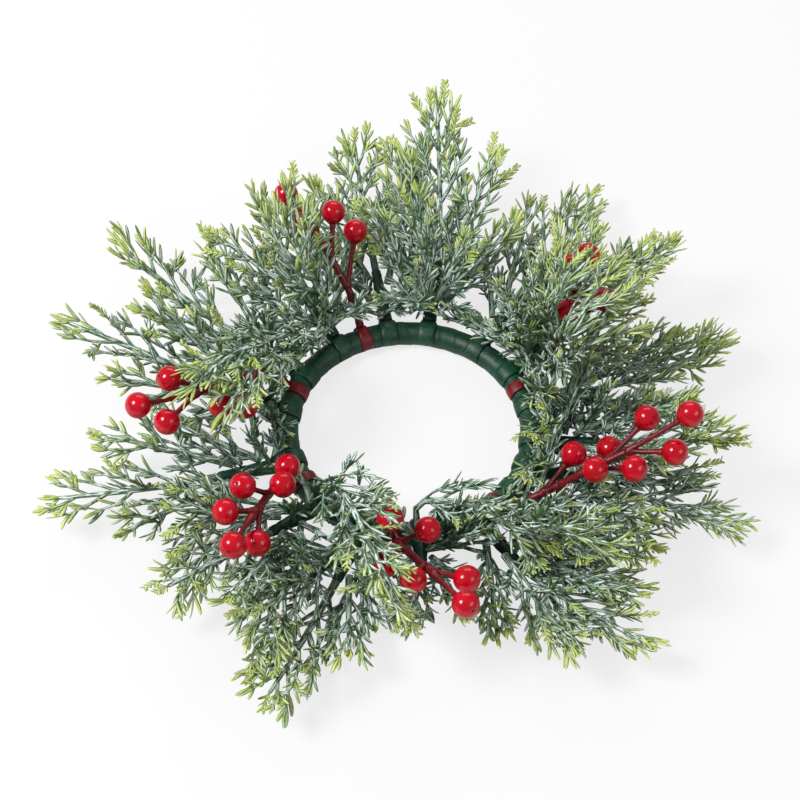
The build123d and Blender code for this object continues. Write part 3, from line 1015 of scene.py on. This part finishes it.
def stalk(fork, centre, above, rng):
    """Path and radii of a slightly bowed stalk that ends inside the berry. It is swollen
    where it joins the branch and where it meets the berry."""
    way = unit(centre - fork)
    reach = np.linalg.norm(centre - fork) - BERRY_RADIUS + 2.6 * MM
    sag = unit(np.cross(way, above) + 0.3 * above)
    bow = 0.35 * MM * rng.uniform(-1, 1)
    path, radii = [], []
    for s in np.linspace(0, reach, 22):
        path.append(fork + way * s + sag * bow * math.sin(math.pi * s / reach))
        foot = math.exp(-(s / (2.8 * MM)) ** 2)
        neck = math.exp(-((s - reach + 2.8 * MM) / (1.6 * MM)) ** 2)
        radii.append((1.0 + 0.95 * foot + 0.45 * neck) * MM)
    return path, radii


def make_berry_pick(body, row, seed):
    """Wrapped neck, branch and stalks with their clasp as one piece, and the berries as
    another."""
    neck_rise, neck, sweep, rise, length, places = row
    rng = np.random.default_rng(seed)
    root = ROOTS[body]
    out = outward(root)
    around = np.cross(UP, out)
    neck_way = turned(out, -around, neck_rise)
    left = turned(around, UP, sweep)
    way = turned(turned(out, UP, sweep), -left, rise)
    above = np.cross(way, left)
    knee = root + neck_way * neck * MM
    length *= MM
    ridge = tape_ridge(1.8 * MM, 0.20 * MM, rng)
    path, radii = branch(root + neck_way * 5.9 * MM, knee, knee + way * BRANCH_END * length)
    parts = [clasp_band(root, BERRY_CLASP_WIDTH, seed), tube(path, radii, 14, left, ridge)]
    verts, faces, colours = [], [], []
    for station, ahead, beside, over in places:
        fork = knee + way * min(station, BRANCH_END) * length
        centre = knee + (way * ahead + left * beside + above * over) * length
        path, radii = stalk(fork, centre, above, rng)
        parts.append(tube(path, radii, 10, left + 0.2 * above, ridge))
        v, f, c = make_berry(centre, unit(centre - fork), rng)
        base = len(verts)
        verts.extend(v)
        colours.extend(c)
        faces.extend([[i + base for i in q] for q in f])
    v, f = merged(parts)
    add_mesh(body + "_wrapped_stem", v, f, RED_TAPE, body, body + "_stem")
    add_mesh(body + "_balls", verts, faces, BERRY_RED, body, body + "_berries",
             colours)


for number, (body, row) in enumerate(zip(BERRY_PICKS, BERRY_SHARES)):
    make_berry_pick(body, row, BERRY_SEED + number)


# Camera and light

# Place in metres and angles in degrees of the camera, and its focal length and the
# picture's side in pixels.
CAMERA_PLACE = (-0.04183, -0.40214, 0.57045)
CAMERA_ELEVATION, CAMERA_ROLL, CAMERA_YAW = 53.49, -2.56, 5.31
FOCAL_PIXELS, SIDE_PIXELS = 1710.27, 800
SENSOR_WIDTH = 36
# The area lamps: name, place, size and watts.
LAMPS = (("key", (-0.75, -0.15, 0.95), (0.4, 0.4), 13),
         ("fill", (0.85, -0.55, 0.8), (0.7, 0.5), 3.2),
         ("back", (0.1, 0.9, 0.7), (0.8, 0.4), 3.0))
LAMP_TARGET = (0, 0, 0.02)
# Strength of the white room as light, what is added to it where the camera sees it, and
# the share of plain white that the camera sees in the floor.
ROOM_LIGHT, ROOM_SEEN, FLOOR_GLOW = 0.33, 0.67, 0.75
WHITE = (1, 1, 1, 1)


def camera():
    """The camera, at the photograph's angle."""
    elevation, roll, yaw = (math.radians(a) for a in
                            (CAMERA_ELEVATION, CAMERA_ROLL, CAMERA_YAW))
    ahead = Vector((math.sin(yaw) * math.cos(elevation), math.cos(yaw) * math.cos(elevation),
                    -math.sin(elevation)))
    right = Vector((math.cos(yaw), -math.sin(yaw), 0))
    down = ahead.cross(right)
    across = math.cos(roll) * right + math.sin(roll) * down
    below = -math.sin(roll) * right + math.cos(roll) * down
    turn = Matrix((across, -below, -ahead)).transposed().to_4x4()
    data = bpy.data.cameras.new("camera")
    data.sensor_width = SENSOR_WIDTH
    data.lens = FOCAL_PIXELS / SIDE_PIXELS * SENSOR_WIDTH
    data.clip_start = 0.01
    obj = bpy.data.objects.new("camera", data)
    obj.matrix_world = Matrix.Translation(CAMERA_PLACE) @ turn
    bpy.context.scene.collection.objects.link(obj)
    bpy.context.scene.camera = obj


def lamp(name, place, size, watts):
    """Area lamp that looks at the ring."""
    data = bpy.data.lights.new(name, "AREA")
    data.energy = watts
    data.shape = "RECTANGLE"
    data.size, data.size_y = size
    obj = bpy.data.objects.new(name, data)
    obj.location = place
    way = Vector(LAMP_TARGET) - Vector(place)
    obj.rotation_euler = way.to_track_quat("-Z", "Y").to_euler()
    bpy.context.scene.collection.objects.link(obj)


def camera_ray(nodes):
    return nodes.new("ShaderNodeLightPath").outputs["Is Camera Ray"]


def lay_floor():
    """Plain pale floor, just under the object."""
    mesh = bpy.data.meshes.new("floor")
    half = 3.0
    mesh.from_pydata([(-half, -half, 0), (half, -half, 0), (half, half, 0), (-half, half, 0)],
                     [], [(0, 1, 2, 3)])
    floor = bpy.data.objects.new("floor", mesh)
    floor.location.z = -0.4 * MM
    bpy.context.scene.collection.objects.link(floor)
    mat, nodes, links, bsdf = material("floor_white")
    bsdf.inputs["Base Color"].default_value = (0.80, 0.80, 0.80, 1)
    bsdf.inputs["Roughness"].default_value = 0.9
    glow = nodes.new("ShaderNodeEmission")
    glow.inputs["Color"].default_value = WHITE
    blend = nodes.new("ShaderNodeMixShader")
    links.new(calc(nodes, links, "MULTIPLY", camera_ray(nodes), FLOOR_GLOW), blend.inputs[0])
    links.new(bsdf.outputs[0], blend.inputs[1])
    links.new(glow.outputs[0], blend.inputs[2])
    links.new(blend.outputs[0], nodes["Material Output"].inputs["Surface"])
    mesh.materials.append(mat)


def light():
    """White room and three area lamps."""
    world = bpy.data.worlds.new("studio")
    bpy.context.scene.world = world
    world.use_nodes = True
    nodes, links = world.node_tree.nodes, world.node_tree.links
    back = nodes["Background"]
    links.new(calc(nodes, links, "MULTIPLY_ADD", camera_ray(nodes), ROOM_SEEN, ROOM_LIGHT),
              back.inputs["Strength"])
    back.inputs["Color"].default_value = WHITE
    for name, place, size, watts in LAMPS:
        lamp(name, place, size, watts)


camera()
lay_floor()
light()
bpy.context.scene.view_settings.view_transform = "Standard"
